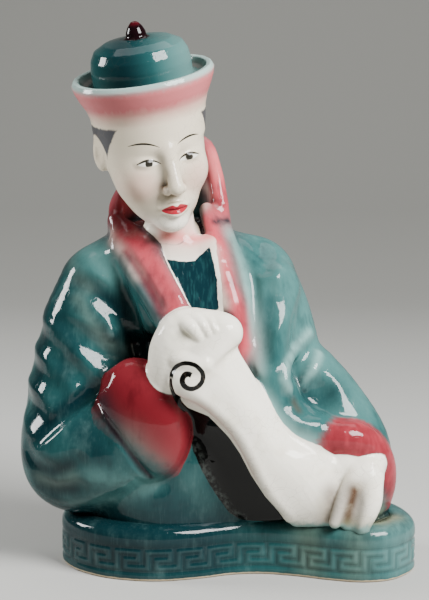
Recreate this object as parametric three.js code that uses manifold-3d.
// A hollow slip-cast ceramic figure of a seated scholar in robe and round hat, holding an open scroll,
// on a low kidney-shaped base. The whole figure left its mould as one casting, so it is one solid.
// Millimetres, +Z up, the origin in the middle of the base's underside, the front towards -Y.
import * as THREE from "three";
import { mergeVertices } from "three/addons/utils/BufferGeometryUtils.js";
import Module from "manifold-3d";

// Driving sizes.
const BASE_HEIGHT = 28; // the low base, from the foot to its rounded rim
const BASE_RIM = 6.5; // rounding of the rim
const BASE_FOOT = 1.5; // small rounding at the foot
const HEAD_CENTRE = [-43.5, -11, 216.5]; // between the eyes, inside the head
const HEAD_YAW = 19; // degrees towards +X
const HEAD_PITCH = 9; // degrees of looking down
const HEAD_ROLL = -8.5; // degrees of leaning towards -X
const HAT_RIM_RADIUS = 35.6;
const HAT_CROWN_RADIUS = 25;
const SCROLL_THICKNESS = 10;
const LAPEL_THICKNESS = 8;
const COLLAR_THICKNESS = 8.4;
const FINE_CELL = 2.3; // spacing of the first, even mesh of the modelled clay
const CLAY_TRIANGLES = 6600; // what the modelled clay keeps of it
const HAT_SEGMENTS = 44;

const GLAZE = { color: 0x3f6f70, roughness: 0.12, metalness: 0 };

// Clay: soft forms joined to and cut from each other.

const FAR = 1000; // what the field says away from every form
const MARGIN = 4; // how far past its own box a form is worked out

// The local right, back and up directions of something turned by these degrees.
function turned(yaw, pitch, roll) {
  const turn = new THREE.Matrix4()
    .makeRotationY(THREE.MathUtils.degToRad(roll))
    .multiply(new THREE.Matrix4().makeRotationZ(THREE.MathUtils.degToRad(yaw)))
    .multiply(new THREE.Matrix4().makeRotationX(THREE.MathUtils.degToRad(pitch)));
  const axes = [0, 1, 2].map((k) => new THREE.Vector3().setFromMatrixColumn(turn, k));
  return { turn, axes };
}

// Numbers that run smoothly through the given rows, with so many steps between two of them.
function spline(rows, steps, closed = false) {
  const spans = closed ? rows.length : rows.length - 1;
  const parts = [];
  for (let first = 0; first < rows[0].length; first += 3) {
    const points = rows.map((r) => new THREE.Vector3(r[first], r[first + 1] ?? 0, r[first + 2] ?? 0));
    parts.push(new THREE.CatmullRomCurve3(points, closed, "catmullrom", 0.5));
  }
  const count = spans * steps + (closed ? 0 : 1);
  return Array.from({ length: count }, (_, i) =>
    parts.flatMap((curve) => curve.getPoint(i / (spans * steps)).toArray()).slice(0, rows[0].length),
  );
}

// The box around points, grown by a margin.
function boxOf(points, margin) {
  const low = [0, 1, 2].map((k) => Math.min(...points.map((p) => p[k])) - margin);
  const high = [0, 1, 2].map((k) => Math.max(...points.map((p) => p[k])) + margin);
  return { low, high };
}

// An ellipsoid.
function ball(centre, radii, turning) {
  const [rx, ry, rz] = typeof radii === "number" ? [radii, radii, radii] : radii;
  const box = boxOf([centre], Math.max(rx, ry, rz));
  const axes = turning ? turning.axes : null;
  const at = (px, py, pz) => {
    let x = px - centre[0];
    let y = py - centre[1];
    let z = pz - centre[2];
    if (axes) {
      const [right, back, up] = axes;
      const a = x * right.x + y * right.y + z * right.z;
      const b = x * back.x + y * back.y + z * back.z;
      z = x * up.x + y * up.y + z * up.z;
      x = a;
      y = b;
    }
    const k = Math.hypot(x / rx, y / ry, z / rz);
    const slope = Math.hypot(x / (rx * rx), y / (ry * ry), z / (rz * rz));
    return (k * (k - 1)) / Math.max(slope, 1e-6);
  };
  return { ...box, at };
}

// A limb of changing radius along a smooth line. A depth share under 1 flattens it front to back.
function limb(points, radii, depthShare = 1, steps = 5) {
  const rows = points.map((p, i) => [...p, typeof radii === "number" ? radii : radii[i]]);
  const line = spline(rows, steps);
  const box = boxOf(line, Math.max(...line.map((p) => p[3])));
  const squeeze = 1 / (depthShare * depthShare) - 1;
  const at = (x, y, z) => {
    let best = Infinity;
    for (let i = 0; i + 1 < line.length; i++) {
      const a = line[i];
      const b = line[i + 1];
      const ex = b[0] - a[0];
      const ey = b[1] - a[1];
      const ez = b[2] - a[2];
      let wx = x - a[0];
      let wy = y - a[1];
      let wz = z - a[2];
      const square = Math.max(ex * ex + ey * ey + ez * ez, 1e-9);
      const t = Math.min(1, Math.max(0, (wx * ex + wy * ey + wz * ez) / square));
      wx -= t * ex;
      wy -= t * ey;
      wz -= t * ez;
      const d = Math.sqrt(wx * wx + wy * wy * (1 + squeeze) + wz * wz) - (a[3] + t * (b[3] - a[3]));
      if (d < best) best = d;
    }
    return best;
  };
  return { ...box, at };
}

// A curved slab with rounded edges through rows of points.
function slab(rows, thickness, steps = 3) {
  const across = rows.map((row) => spline(row, steps));
  const columns = across[0].map((_, i) => spline(across.map((row) => row[i]), steps));
  const triangles = [];
  for (let i = 0; i + 1 < columns.length; i++) {
    for (let j = 0; j + 1 < columns[0].length; j++) {
      const [a, b, c, d] = [columns[i][j], columns[i + 1][j], columns[i + 1][j + 1], columns[i][j + 1]];
      triangles.push([a, b, c], [a, c, d]);
    }
  }
  const faces = triangles
    .map((t) => new THREE.Triangle(...t.map((p) => new THREE.Vector3(...p))))
    .filter((t) => t.getArea() > 1e-4);
  const box = boxOf(columns.flat(), thickness / 2);
  const here = new THREE.Vector3();
  const nearest = new THREE.Vector3();
  const at = (x, y, z) => {
    here.set(x, y, z);
    let best = Infinity;
    for (const face of faces) {
      best = Math.min(best, face.closestPointToPoint(here, nearest).distanceToSquared(here));
    }
    return Math.sqrt(best) - thickness / 2;
  };
  return { ...box, at };
}

// Signed distance to a closed outline in the plane.
function toOutline(x, y, outline) {
  let best = Infinity;
  let inside = false;
  for (let i = 0, j = outline.length - 1; i < outline.length; j = i++) {
    const [ax, ay] = outline[i];
    const [bx, by] = outline[j];
    const ex = bx - ax;
    const ey = by - ay;
    const t = Math.min(1, Math.max(0, ((x - ax) * ex + (y - ay) * ey) / Math.max(ex * ex + ey * ey, 1e-9)));
    best = Math.min(best, (x - ax - t * ex) ** 2 + (y - ay - t * ey) ** 2);
    if (ay > y !== by > y && x < (ex * (y - ay)) / ey + ax) inside = !inside;
  }
  return (inside ? -1 : 1) * Math.sqrt(best);
}

// An upright block of a smooth outline, its top edge widely rounded.
function block(corners, low, high, topRound, footRound) {
  const outline = spline(corners, 6, true);
  const middle = (low + high) / 2;
  const box = boxOf([...outline.map(([x, y]) => [x, y, low]), [...outline[0], high]], 0);
  const at = (x, y, z) => {
    const round = z > middle ? topRound : footRound;
    const a = toOutline(x, y, outline) + round;
    const b = Math.abs(z - middle) - (high - low) / 2 + round;
    return Math.min(Math.max(a, b), 0) + Math.hypot(Math.max(a, 0), Math.max(b, 0)) - round;
  };
  return { ...box, at };
}

// Distances a and b joined with a soft seam.
function softly(a, b, seam) {
  if (seam <= 0) return Math.min(a, b);
  const h = Math.min(1, Math.max(0, 0.5 + (0.5 * (b - a)) / seam));
  return b + (a - b) * h - seam * h * (1 - h);
}

class Clay {
  steps = [];

  add(form, seam = 0) {
    this.steps.push({ form, seam, sign: 1 });
  }

  cut(form, seam = 0) {
    this.steps.push({ form, seam, sign: -1 });
  }

  at(x, y, z) {
    let d = FAR;
    for (const { form, seam, sign } of this.steps) {
      const other = form.at(x, y, z);
      d = sign * softly(sign * d, other, seam);
    }
    return d;
  }

  // The direction away from the clay.
  away(p) {
    const e = 0.4;
    const slope = [0, 1, 2].map((k) => {
      const near = [...p];
      const far = [...p];
      near[k] -= e;
      far[k] += e;
      return this.at(...far) - this.at(...near);
    });
    return new THREE.Vector3(...slope).normalize();
  }

  // A fold: a groove cut into the skin along points on it, or a ridge laid on it.
  fold(kind, points, widths, depths, seam) {
    const line = points.map((p, i) => {
      const half = (widths[i] ?? widths) / 2;
      const depth = depths[i] ?? depths;
      const radius = Math.min(14, (half * half + depth * depth) / (2 * depth));
      const shift = (kind === "cut" ? 1 : -1) * (radius - depth);
      return [...new THREE.Vector3(...p).addScaledVector(this.away(p), shift).toArray(), radius];
    });
    return { kind, form: limb(line.map((p) => p.slice(0, 3)), line.map((p) => p[3]), 1, 3), seam };
  }
}

// The clay's skin as an even mesh. Each cube of the grid is split into six four-cornered cells that run
// from its low corner to its high one, so neighbouring cells always agree and the skin is closed.
function skinOf(clay, low, high, cell) {
  const size = low.map((v, k) => Math.ceil((high[k] - v) / cell) + 1);
  const [nx, ny, nz] = size;
  const number = (i, j, k) => (i * ny + j) * nz + k;
  const field = new Float64Array(nx * ny * nz).fill(FAR);
  for (const { form, seam, sign } of clay.steps) {
    const reach = seam + MARGIN;
    const from = form.low.map((v, k) => Math.max(0, Math.floor((v - reach - low[k]) / cell)));
    const to = form.high.map((v, k) => Math.min(size[k] - 1, Math.ceil((v + reach - low[k]) / cell)));
    for (let i = from[0]; i <= to[0]; i++) {
      for (let j = from[1]; j <= to[1]; j++) {
        for (let k = from[2]; k <= to[2]; k++) {
          const n = number(i, j, k);
          const other = form.at(low[0] + i * cell, low[1] + j * cell, low[2] + k * cell);
          field[n] = sign * softly(sign * field[n], other, seam);
        }
      }
    }
  }
  // A corner that lies almost on the skin is moved off it, so that no two crossings fall together.
  const least = 0.03 * cell;
  field.forEach((d, n) => {
    if (Math.abs(d) < least) field[n] = d < 0 ? -least : least;
  });
  const points = [];
  const crossings = new Map();
  const place = (n) => [Math.floor(n / (ny * nz)), Math.floor(n / nz) % ny, n % nz];
  const crossing = (m, n) => {
    const key = Math.min(m, n) * field.length + Math.max(m, n);
    if (!crossings.has(key)) {
      const t = field[m] / (field[m] - field[n]);
      const [p, q] = [place(m), place(n)];
      crossings.set(key, points.length);
      points.push(p.map((v, axis) => low[axis] + cell * (v + t * (q[axis] - v))));
    }
    return crossings.get(key);
  };
  const strides = [ny * nz, nz, 1];
  const walks = [[0, 1, 2], [1, 2, 0], [2, 0, 1], [0, 2, 1], [1, 0, 2], [2, 1, 0]];
  const triangles = [];
  for (let i = 0; i + 1 < nx; i++) {
    for (let j = 0; j + 1 < ny; j++) {
      for (let k = 0; k + 1 < nz; k++) {
        const start = number(i, j, k);
        walks.forEach(([a, b], walk) => {
          const second = start + strides[a];
          const corners = [start, second, second + strides[b], start + ny * nz + nz + 1];
          const inside = corners.filter((n) => field[n] < 0);
          if (!inside.length || inside.length === 4) return;
          const outside = corners.filter((n) => field[n] >= 0);
          // Whether the corners, inside ones first, run the same way round as the cell.
          const order = [...inside, ...outside].map((n) => corners.indexOf(n));
          const swaps = order.flatMap((m, x) => order.slice(x + 1).filter((n) => n < m)).length;
          const flip = (swaps % 2 === 1) !== walk > 2;
          let ring;
          if (inside.length === 1) ring = outside.map((n) => crossing(inside[0], n));
          else if (inside.length === 3) ring = inside.map((n) => crossing(n, outside[0]));
          else {
            const [[p, q], [r, s]] = [inside, outside];
            ring = [crossing(p, r), crossing(p, s), crossing(q, s), crossing(q, r)];
          }
          if (flip) ring.reverse();
          for (let n = 2; n < ring.length; n++) triangles.push([ring[0], ring[n - 1], ring[n]]);
        });
      }
    }
  }
  return { points, triangles };
}

// The skin evened out, as a glaze evens it, without shrinking it.
function evened({ points, triangles }, rounds) {
  const near = points.map(() => new Set());
  for (const t of triangles) t.forEach((v, n) => near[v].add(t[(n + 1) % 3]));
  let place = points;
  for (let round = 0; round < 2 * rounds; round++) {
    const share = round % 2 ? -0.53 : 0.5;
    place = place.map((p, v) => {
      const mean = [0, 0, 0];
      for (const w of near[v]) place[w].forEach((x, axis) => (mean[axis] += x / near[v].size));
      return p.map((x, axis) => x + share * (mean[axis] - x));
    });
  }
  return { points: place, triangles };
}

// Fewer triangles: edges are closed up one at a time, the one that moves the skin least first.
function thin({ points, triangles }, wanted) {
  const place = points.map((p) => new THREE.Vector3(...p));
  const faces = triangles.map((t) => [...t]);
  const around = points.map(() => new Set());
  const spread = points.map(() => new Float64Array(10)); // squared distance to the planes met so far
  const normalOf = (t, moved = -1, to = null) => {
    const [a, b, c] = t.map((v) => (v === moved ? to : place[v]));
    return b.clone().sub(a).cross(c.clone().sub(a));
  };
  faces.forEach((t, f) => {
    const normal = normalOf(t);
    const area = normal.length() / 2;
    normal.normalize();
    const offset = -normal.dot(place[t[0]]);
    const [a, b, c, d] = [normal.x, normal.y, normal.z, offset];
    const plane = [a * a, a * b, a * c, a * d, b * b, b * c, b * d, c * c, c * d, d * d];
    for (const v of t) {
      around[v].add(f);
      plane.forEach((value, n) => (spread[v][n] += area * value));
    }
  });
  const costAt = (q, p) =>
    q[0] * p.x * p.x + 2 * q[1] * p.x * p.y + 2 * q[2] * p.x * p.z + 2 * q[3] * p.x + q[4] * p.y * p.y +
    2 * q[5] * p.y * p.z + 2 * q[6] * p.y + q[7] * p.z * p.z + 2 * q[8] * p.z + q[9];
  const plan = (u, v) => {
    const q = spread[u].map((value, n) => value + spread[v][n]);
    const middle = place[u].clone().add(place[v]).multiplyScalar(0.5);
    const choices = [middle, place[u].clone(), place[v].clone()];
    const flat = new THREE.Matrix3().set(q[0], q[1], q[2], q[1], q[4], q[5], q[2], q[5], q[7]);
    const size = q[0] + q[4] + q[7];
    if (Math.abs(flat.determinant()) > 1e-4 * size ** 3) {
      const best = new THREE.Vector3(-q[3], -q[6], -q[8]).applyMatrix3(flat.invert());
      if (best.distanceTo(middle) < 2 * place[u].distanceTo(place[v])) choices.unshift(best);
    }
    const costs = choices.map((p) => costAt(q, p));
    const pick = costs.indexOf(Math.min(...costs));
    const length = place[u].distanceToSquared(place[v]);
    return { u, v, to: choices[pick], cost: Math.max(costs[pick], 0) + 1e-4 * length * length };
  };
  const heap = [];
  const push = (entry) => {
    heap.push(entry);
    for (let i = heap.length - 1; i > 0; ) {
      const up = (i - 1) >> 1;
      if (heap[up].cost <= heap[i].cost) break;
      [heap[up], heap[i]] = [heap[i], heap[up]];
      i = up;
    }
  };
  const pop = () => {
    const top = heap[0];
    const last = heap.pop();
    if (heap.length) heap[0] = last;
    for (let i = 0; ; ) {
      let least = i;
      for (const down of [2 * i + 1, 2 * i + 2]) {
        if (down < heap.length && heap[down].cost < heap[least].cost) least = down;
      }
      if (least === i) return top;
      [heap[least], heap[i]] = [heap[i], heap[least]];
      i = least;
    }
  };
  const version = new Int32Array(points.length);
  const neighbours = (v) => new Set([...around[v]].flatMap((f) => faces[f]).filter((w) => w !== v));
  const offer = (u, v) => push({ ...plan(u, v), versions: [version[u], version[v]] });
  faces.forEach((t) => t.forEach((v, n) => v < t[(n + 1) % 3] && offer(v, t[(n + 1) % 3])));
  let left = faces.length;
  while (left > wanted && heap.length) {
    const { u, v, to, versions } = pop();
    if (versions[0] !== version[u] || versions[1] !== version[v]) continue;
    if (!around[u].size || !around[v].size) continue;
    const shared = [...around[u]].filter((f) => around[v].has(f));
    const near = neighbours(v);
    const common = [...neighbours(u)].filter((w) => near.has(w));
    if (shared.length !== 2 || common.length !== 2) continue;
    const keeps = (w) => [...around[w]].every((f) => {
      if (shared.includes(f)) return true;
      const before = normalOf(faces[f]);
      const after = normalOf(faces[f], w, to);
      return before.dot(after) > 0.35 * before.length() * after.length() && after.length() > 1e-3;
    });
    if (!keeps(u) || !keeps(v)) continue;
    for (const f of shared) {
      faces[f].forEach((w) => around[w].delete(f));
      left--;
    }
    for (const f of around[v]) {
      faces[f] = faces[f].map((w) => (w === v ? u : w));
      around[u].add(f);
    }
    around[v].clear();
    place[u].copy(to);
    spread[u] = spread[u].map((value, n) => value + spread[v][n]);
    version[u]++;
    version[v]++;
    for (const w of neighbours(u)) offer(u, w);
  }
  const kept = [...new Set(around.flatMap((set) => [...set]))];
  const used = [...new Set(kept.flatMap((f) => faces[f]))];
  const renumbered = new Map(used.map((v, n) => [v, n]));
  return {
    points: used.map((v) => place[v].toArray()),
    triangles: kept.map((f) => faces[f].map((v) => renumbered.get(v))),
  };
}

// Head, neck and face.

const clay = new Clay();
const HEAD_TURN = turned(HEAD_YAW, HEAD_PITCH, HEAD_ROLL);
const inHead = (x, y, z) => new THREE.Vector3(x, y, z)
  .applyMatrix4(HEAD_TURN.turn)
  .add(new THREE.Vector3(...HEAD_CENTRE))
  .toArray();

// The robe's body and shoulders.
function modelBody() {
  clay.add(block([[-74, -17], [-60, -30], [-40, -36.5], [-18, -33], [2, -26], [24, -28], [44, -34],
    [62, -34], [73, -20], [74, -2], [62, 15], [30, 27], [-15, 30], [-50, 27], [-70, 12]],
    15, 56, 22, 5));
  clay.add(limb([[-6, 2, 50], [-12, 3, 74], [-22, 4, 108], [-30, 5, 142]], [36, 35, 35, 31], 0.86), 16);
  clay.add(limb([[-54, -16, 42], [-28, -20, 50], [-4, -17, 50]], 15), 10);
  clay.add(ball([-22, -27, 62], [16, 10, 16]), 8);
  clay.add(limb([[-62, 6, 148.5], [-53, 7, 157], [-33, 8, 161], [-14, 8, 157], [5, 7, 148]],
    [19.5, 19, 19, 18.5, 19.5]), 10);
  clay.add(limb([[-56, -6, 162], [-46, -14, 150], [-38, -20, 134]], [12, 13, 13]), 4);
  clay.add(slab([[[-36, -14, 167], [-14, -12, 168]], [[-31, -23, 150], [-11, -21, 150]],
    [[-25, -31, 130], [-6, -28, 130]]], 9), 3);
}

// The sleeve on the -X side: upper arm, elbow, forearm, and the wide cuff turned towards the front.
function modelNearSleeve() {
  clay.add(limb([[-70.5, 3, 143.5], [-76.5, 1, 118], [-79.5, -1, 92], [-79, -5, 70]],
    [22, 27, 30, 32]), 7);
  clay.add(ball([-77, -9, 63], [34, 33, 33]), 6);
  clay.add(ball([-84.5, -9, 54], [26, 28, 25]), 6);
  clay.add(limb([[-76, -12, 60], [-62, -22, 64], [-50, -28, 72]], [28, 24, 20]), 8);
  clay.cut(limb([[-58, -42, 130], [-57, -42, 119], [-62, -44, 110], [-73, -46, 101]],
    [9, 11, 8, 5]), 8);
  clay.add(ball([-48, -33, 82], [24, 18, 32], turned(-12, 0, -14)), 3);
}

// The sleeve on the +X side, which runs down to the wrist, and the robe front beside it.
function modelFarSleeve() {
  clay.add(limb([[8, 6, 146], [15, 5, 127], [22, 3, 108], [28, 0, 94]], [22.3, 23, 21, 17]), 7);
  clay.add(limb([[36, -2, 97], [46.5, -4, 83], [58, -9, 63], [61.5, -12, 46], [60, -12, 34]],
    [17.3, 18.8, 20.2, 18.5, 17]), 4);
  clay.add(limb([[18, -10, 146], [15, -19, 128], [14, -24, 106], [22, -27, 88], [36, -28, 76],
    [48, -26, 70]], [13, 12, 12, 12, 11, 9]), 6);
}

// The standing collar round the back of the neck, and the two lapels that run down from it.
function modelCollar() {
  clay.add(slab([[[-63, 1, 168], [-62, 10, 166], [-54, 21, 164], [-36, 26, 164], [-18, 21, 164],
    [-10, 12, 166], [-8.5, 1, 168]], [[-62.5, 2, 179], [-61.5, 10, 187], [-53, 20, 199], [-36, 25, 212],
    [-19, 20, 216], [-12.5, 12, 203], [-9, 3, 186]]], COLLAR_THICKNESS), 2);
  clay.add(slab([[[-62, 0, 178], [-50, -8, 172]], [[-60, -10, 168], [-45, -16, 168]], [[-54, -20, 156],
    [-40, -25, 158]], [[-44, -31, 142], [-31, -35, 144]], [[-37, -36, 130], [-24, -39, 130]]], LAPEL_THICKNESS), 3);
  clay.add(slab([[[-16, -2, 184], [-9, 2, 180]], [[-11, -13, 166], [-3, -10, 164]], [[-6, -22, 150],
    [3, -18, 150]], [[-4, -30, 130], [5, -26, 130]], [[-4, -34, 112], [3, -30, 108]]], LAPEL_THICKNESS), 3);
}

// Neck, cranium, face, jaw, chin and ears, turned with the head.
function modelHead() {
  clay.add(limb([[-33, -2, 150], [-34, -6, 172], [-38, -9, 200]], [17, 12.5, 13]), 5);
  clay.add(ball(inHead(0, 4, 9), [27, 32, 29], HEAD_TURN), 3);
  clay.add(ball(inHead(0, -7, -7), [24, 21, 26], HEAD_TURN), 6);
  clay.add(ball(inHead(0, -13, -24), [15, 13, 12], HEAD_TURN), 7);
  clay.add(ball(inHead(0, -21.5, -32.5), [8, 6.5, 6], HEAD_TURN), 5);
  clay.add(ball(inHead(0, -20, -24), [10, 8.5, 8], HEAD_TURN), 4);
  for (const side of [-1, 1]) {
    const earTurn = turned(HEAD_YAW - 14 * side, HEAD_PITCH, HEAD_ROLL);
    clay.add(ball(inHead(13 * side, -17.5, -9), [8.5, 8, 9], HEAD_TURN), 6);
    clay.add(ball(inHead(25.5 * side, 4, 1), [2.8, 6.5, 9], earTurn), 2);
    clay.cut(ball(inHead(10.5 * side, -31, 0.5), [7.5, 5, 4], HEAD_TURN), 4);
    clay.add(ball(inHead(10.5 * side, -22.5, -0.8), [6.2, 4.6, 3.6], HEAD_TURN), 1.5);
  }
  clay.add(limb([inHead(0, -26.5, 4), inHead(0, -30, -4), inHead(0, -34, -13)], [2.6, 2.9, 3.6]), 3);
  for (const side of [-1, 1]) {
    clay.add(ball(inHead(3.6 * side, -30, -14.6), [2.7, 3.2, 2.5], HEAD_TURN), 1.5);
  }
  const upperLip = [inHead(-7.6, -26.5, -24), inHead(0, -29.6, -23), inHead(7.6, -26.5, -24)];
  const lowerLip = [inHead(-5.5, -27, -26.2), inHead(0, -29.3, -27.2), inHead(5.5, -27, -26.2)];
  clay.add(limb(upperLip, [0.8, 1.8, 0.8]), 1);
  clay.add(limb(lowerLip, [1.2, 2.1, 1.2]), 1);
}

// The scroll: its rolled end, the sheet that hangs from it to the base, and the flank under its edge.
function modelScroll() {
  clay.add(limb([[-25.5, -49, 106.5], [-17, -48, 117], [-7.5, -44, 128.5]], 9.5), 3);
  clay.add(slab([[[-22, -50, 101], [-12, -47, 110], [-5, -41, 117]], [[-11.5, -49, 93], [-4, -47, 99],
    [2, -40, 105]], [[-0.5, -48, 81.5], [5, -46, 87], [9.5, -38, 92]], [[5.5, -47, 71.5], [11, -45, 77],
    [16, -37, 81]], [[11, -45.5, 60], [18, -44, 67], [25, -36, 72]], [[17.5, -43.5, 48], [28, -43, 58],
    [38, -35, 65]], [[25.5, -40, 38], [38, -41, 46], [50, -34, 52]], [[30, -36, 31], [44, -38, 32],
    [57, -34, 34]]], SCROLL_THICKNESS), 4);
  clay.add(slab([[[-23, -45, 96], [-32, -38, 94]], [[-10, -42, 86], [-24, -32, 84]], [[5, -40, 68],
    [-16, -30, 66]], [[14, -37, 50], [-7, -29, 48]], [[26, -35, 34], [6, -27, 30]]], 8), 3);
}

// The hand that holds the rolled end, the far cuff, and the hand that rests on the foot of the sheet.
function modelHands() {
  clay.add(limb([[-38.5, -36, 97], [-36.5, -42, 110], [-34, -44, 121], [-27, -44, 130],
    [-13, -42.5, 130]], [8.5, 9, 10, 10.5, 9.5]), 3);
  clay.add(ball([-26, -44.5, 121], [12, 8.5, 12]), 4);
  clay.add(limb([[-30, -51, 117], [-21.5, -55, 114.5], [-17, -55.5, 115]], [4.5, 4.2, 3.6]), 2);
  clay.add(limb([[38, -31, 70], [50, -31, 72], [61, -28, 69], [70, -21, 58], [72.5, -14, 45],
    [71, -10, 32]], [5, 8, 9.5, 9.5, 9, 8]), 4);
  clay.add(ball([55, -31, 56], [13, 8, 10]), 3);
  clay.add(limb([[67, -25, 61], [64.5, -33, 54], [63, -36, 47]], [8.5, 9.5, 9]), 2.5);
  clay.add(limb([[60, -37, 54], [53, -42, 42.5], [48.5, -43, 31]], [6, 4.8, 3.2]), 2);
  clay.add(limb([[66.5, -37.5, 52], [66, -41, 41], [62, -41.5, 29]], [6.5, 6.2, 4.8]), 2);
  clay.cut(limb([[57.5, -50, 45], [56.5, -50, 37], [55.5, -49.5, 30]], [2.5, 5, 4.5]), 2);
  clay.add(ball([54, -33, 33], [14, 8, 8]), 2);
}

// Folds of the sleeves and furrows of the hand, pressed in or raised along lines on the skin.
function modelFolds() {
  const folds = [
    ["cut", [[-60.9, -14.1, 170.4], [-51.5, -24.8, 158.8], [-43.8, -33.3, 147.6],
      [-38.7, -37.5, 140.7]], [4, 5, 5, 4], [0.7, 1.4, 1.4, 1], 2],
    ["cut", [[-79.2, -16.5, 148.8], [-71, -19.4, 145.2], [-65, -19.9, 138.6], [-60, -18.9, 129.1],
      [-56.2, -16.8, 118.4]], [4, 9, 11, 10, 5], [0.5, 2.2, 3.2, 3.2, 1], 5],
    ["cut", [[-70.2, -14.2, 158.2], [-65, -16.4, 155.4], [-59.9, -18.8, 150.7]], [3, 6, 3],
      [0.3, 1.2, 0.3], 3],
    ["cut", [[-56.8, -20.3, 145.9], [-53.3, -20.5, 136.7], [-51, -15.5, 127]], [3, 6, 4],
      [0.4, 1.6, 0.8], 3],
    ["cut", [[-88.3, -20.9, 128.5], [-77.9, -25.7, 121.7], [-69.4, -25.8, 115.6], [-59.6, -21, 110.4]],
      [4, 9, 10, 5], [0.5, 2.6, 2.8, 1], 5],
    ["cut", [[-92.3, -23.9, 111.6], [-83.5, -28.3, 106.3], [-74.9, -30.1, 97.4]], [4, 8, 5],
      [0.4, 2.2, 1.4], 5],
    ["cut", [[-67.4, -36.1, 102.8], [-74.9, -30.5, 95.9], [-86.9, -33.8, 85.9], [-96, -34.1, 76.6],
      [-102.5, -31.1, 69.1]], [7, 8, 8, 7, 3], [2.8, 3.4, 3, 2.2, 0.4], 3],
    ["cut", [[-107.7, -25.1, 63.9], [-102.6, -32, 57.4], [-91.9, -39.2, 55.6], [-81.5, -43.1, 62.4]],
      [3, 8, 9, 4], [0.4, 2.2, 2.4, 0.5], 5],
    ["cut", [[-101.8, -30.6, 48.6], [-92.3, -35.8, 45.4], [-80.8, -40.3, 48.1]], [4, 8, 4],
      [0.6, 2.6, 0.6], 5],
    ["cut", [[-71.6, -34.5, 91.2], [-67.3, -42.4, 84.8], [-60.1, -47.1, 76.8], [-53.2, -47.9, 66.2],
      [-44, -40.8, 53.5]], [5, 5, 5, 4, 3], [2, 1.8, 1.4, 1, 0.4], 1.5],
    ["add", [[37.4, -6.9, 121.7], [28.9, -16.4, 114.2], [24.9, -28, 109.3], [23.8, -33.9, 102.4],
      [26.7, -35.5, 95.5]], [4, 6, 6, 6, 4], [0.8, 1.8, 2, 2, 1], 3],
    ["add", [[40.9, -11.1, 111], [38.1, -17.7, 104], [33.5, -19.5, 96.1]], [4, 6, 4], [0.8, 1.8, 1], 3],
    ["cut", [[25.7, -37.7, 91.9], [30.8, -36.8, 89.2], [38.3, -26.6, 88.3]], [6, 9, 4], [2, 3, 0.8], 4],
    ["cut", [[16.8, -24.1, 146.5], [13.7, -29.8, 133.2], [12.7, -32.8, 122.6], [14.6, -35, 111.8]],
      [4, 8, 8, 4], [0.6, 2.2, 2.2, 0.8], 5],
    ["cut", [[10.2, 1, 168.8], [13.1, -6.9, 164.3], [13.9, -17.1, 156.6]], [4, 6, 3], [1.2, 1.6, 0.4],
      3],
    ["cut", [[22.9, -22, 148.2], [18.7, -26.1, 141.7], [14.7, -28.8, 136.1]], [3, 6, 4],
      [0.5, 1.4, 0.6], 3],
    ["cut", [[-31.4, -54.5, 128.4], [-28, -54.5, 130.4], [-24.1, -54.2, 130.3]], [7, 10, 6],
      [0.8, 2.6, 0.8], 3],
    ["add", [[-27.1, -51.9, 136.9], [-23.6, -53.8, 133.2], [-19.7, -53.4, 128.2]], [4, 6, 5],
      [0.6, 1.8, 1.4], 1],
    ["add", [[-21.2, -50, 138.5], [-18.3, -52.1, 134.9], [-15.3, -53.1, 130.1]], [4, 5, 4],
      [0.6, 1.7, 1.2], 1],
    ["add", [[-16.8, -48.3, 138.7], [-14.3, -50.7, 135.6], [-11.9, -52.9, 131.6]], [3.5, 4.5, 3.5],
      [0.5, 1.4, 1], 1],
    ["cut", [[-1.6, -45.9, 120.2], [-5.5, -50.6, 117.6], [-10.4, -54.2, 113.9]], [4, 5, 3],
      [0.9, 1.2, 0.3], 2],
  ].map((fold) => clay.fold(...fold));
  for (const { kind, form, seam } of folds) clay[kind](form, seam);
}

modelBody();
modelNearSleeve();
modelFarSleeve();
modelCollar();
modelHead();
modelScroll();
modelHands();
modelFolds();

// Base, hat and finial, and one solid of everything.

const wasm = await Module();
wasm.setup();

// A closed geometry as a solid.
function solid(geometry) {
  const bare = geometry.clone();
  bare.deleteAttribute("normal");
  bare.deleteAttribute("uv");
  const merged = mergeVertices(bare, 1e-4);
  return new wasm.Manifold(new wasm.Mesh({
    numProp: 3,
    vertProperties: new Float32Array(merged.attributes.position.array),
    triVerts: new Uint32Array(merged.index.array),
  }));
}

function geometryOf(points, triangles) {
  const geometry = new THREE.BufferGeometry();
  geometry.setAttribute("position", new THREE.Float32BufferAttribute(points.flat(), 3));
  geometry.setIndex(triangles.flat());
  return geometry;
}

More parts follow.
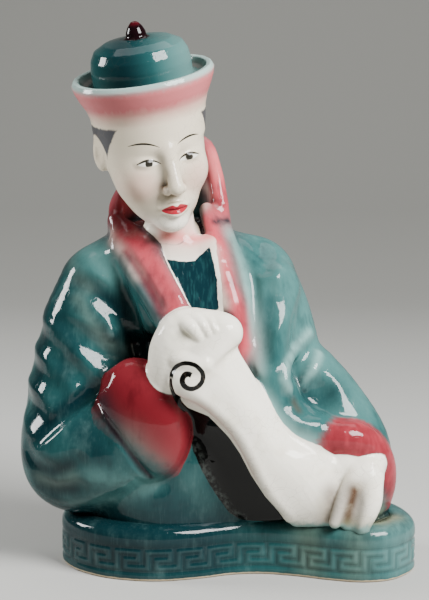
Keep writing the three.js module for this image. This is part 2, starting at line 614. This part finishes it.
// The kidney-shaped base: its outline at a row of heights, drawn in towards the rim and the foot.
function baseGeometry() {
  const corners = [
    [-92, -4], [-88.5, -16.5], [-79.5, -29], [-64, -39.5], [-42, -44], [-20, -39.5], [-3, -33],
    [13, -31.5], [30, -35.5], [47, -42], [63, -45.5], [78, -41.5], [89, -28], [91.5, -15], [87, 2],
    [76, 17], [56, 28], [22, 34], [-18, 36], [-52, 33], [-78, 21], [-90, 8],
  ];
  const outline = spline(corners, 4, true).map(([x, y]) => new THREE.Vector2(x, y));
  const outwards = outline.map((p, i) => {
    const before = outline[(i + outline.length - 1) % outline.length];
    const after = outline[(i + 1) % outline.length];
    return after.clone().sub(before).rotateAround(new THREE.Vector2(), -Math.PI / 2).normalize();
  });
  const rows = [[0, BASE_FOOT], [BASE_FOOT, 0]];
  for (let n = 0; n <= 4; n++) {
    const angle = (n / 4) * (Math.PI / 2);
    rows.push([BASE_HEIGHT - BASE_RIM * (1 - Math.sin(angle)), BASE_RIM * (1 - Math.cos(angle))]);
  }
  const points = rows.flatMap(([z, inset]) =>
    outline.map((p, i) => [p.x - inset * outwards[i].x, p.y - inset * outwards[i].y, z]),
  );
  const count = outline.length;
  const triangles = [];
  for (let r = 0; r + 1 < rows.length; r++) {
    for (let i = 0; i < count; i++) {
      const [a, b] = [r * count + i, r * count + ((i + 1) % count)];
      triangles.push([a, b, b + count], [a, b + count, a + count]);
    }
  }
  const cap = THREE.ShapeUtils.triangulateShape(outline, []);
  const last = (rows.length - 1) * count;
  for (const [a, b, c] of cap) triangles.push([c, b, a], [last + a, last + b, last + c]);
  return geometryOf(points, triangles);
}

// A profile of radius and height turned round the hat's own upright axis.
function onHead(profile) {
  const geometry = new THREE.LatheGeometry(profile.map(([r, h]) => new THREE.Vector2(r, h)), HAT_SEGMENTS);
  geometry.rotateX(Math.PI / 2);
  const tilt = turned(0, HEAD_PITCH, HEAD_ROLL).turn;
  return geometry.applyMatrix4(tilt).translate(...inHead(1, 2, 15));
}

const rim = HAT_RIM_RADIUS;
const crown = HAT_CROWN_RADIUS;
const hat = [
  [0, -8], [crown + 1, -8], [crown + 2.8, -1], [crown + 3.6, 4], [crown + 5.4, 9.5], [rim - 2.6, 14.5],
  [rim - 0.7, 19], [rim, 22], [rim - 1, 24], [rim - 3, 23.8], [rim - 4.8, 21], [crown + 3, 19.3],
  [crown, 19.4], [crown - 0.2, 23], [crown - 0.1, 28], [crown - 0.9, 33], [crown - 3, 37], [17, 39.7],
  [9, 40.9], [0, 41.2],
];
const finial = [[0, 39], [4.9, 40], [4.1, 43.5], [2.5, 47.5], [1.2, 49.1], [0, 49.3]];

const even = skinOf(clay, [-118, -68, 8], [98, 48, 262], FINE_CELL);
const { points, triangles } = thin(evened(even, 2), CLAY_TRIANGLES);
const whole = solid(geometryOf(points, triangles))
  .add(solid(baseGeometry()))
  .add(solid(onHead(hat)))
  .add(solid(onHead(finial)));

const { vertProperties, triVerts } = whole.getMesh();
const figure = new THREE.BufferGeometry();
figure.setAttribute("position", new THREE.BufferAttribute(new Float32Array(vertProperties), 3));
figure.setIndex(new THREE.BufferAttribute(new Uint32Array(triVerts), 1));
figure.computeVertexNormals();

const root = new THREE.Group();
const mesh = new THREE.Mesh(figure, new THREE.MeshStandardMaterial(GLAZE));
mesh.name = "figurine";
root.add(mesh);

export default root;
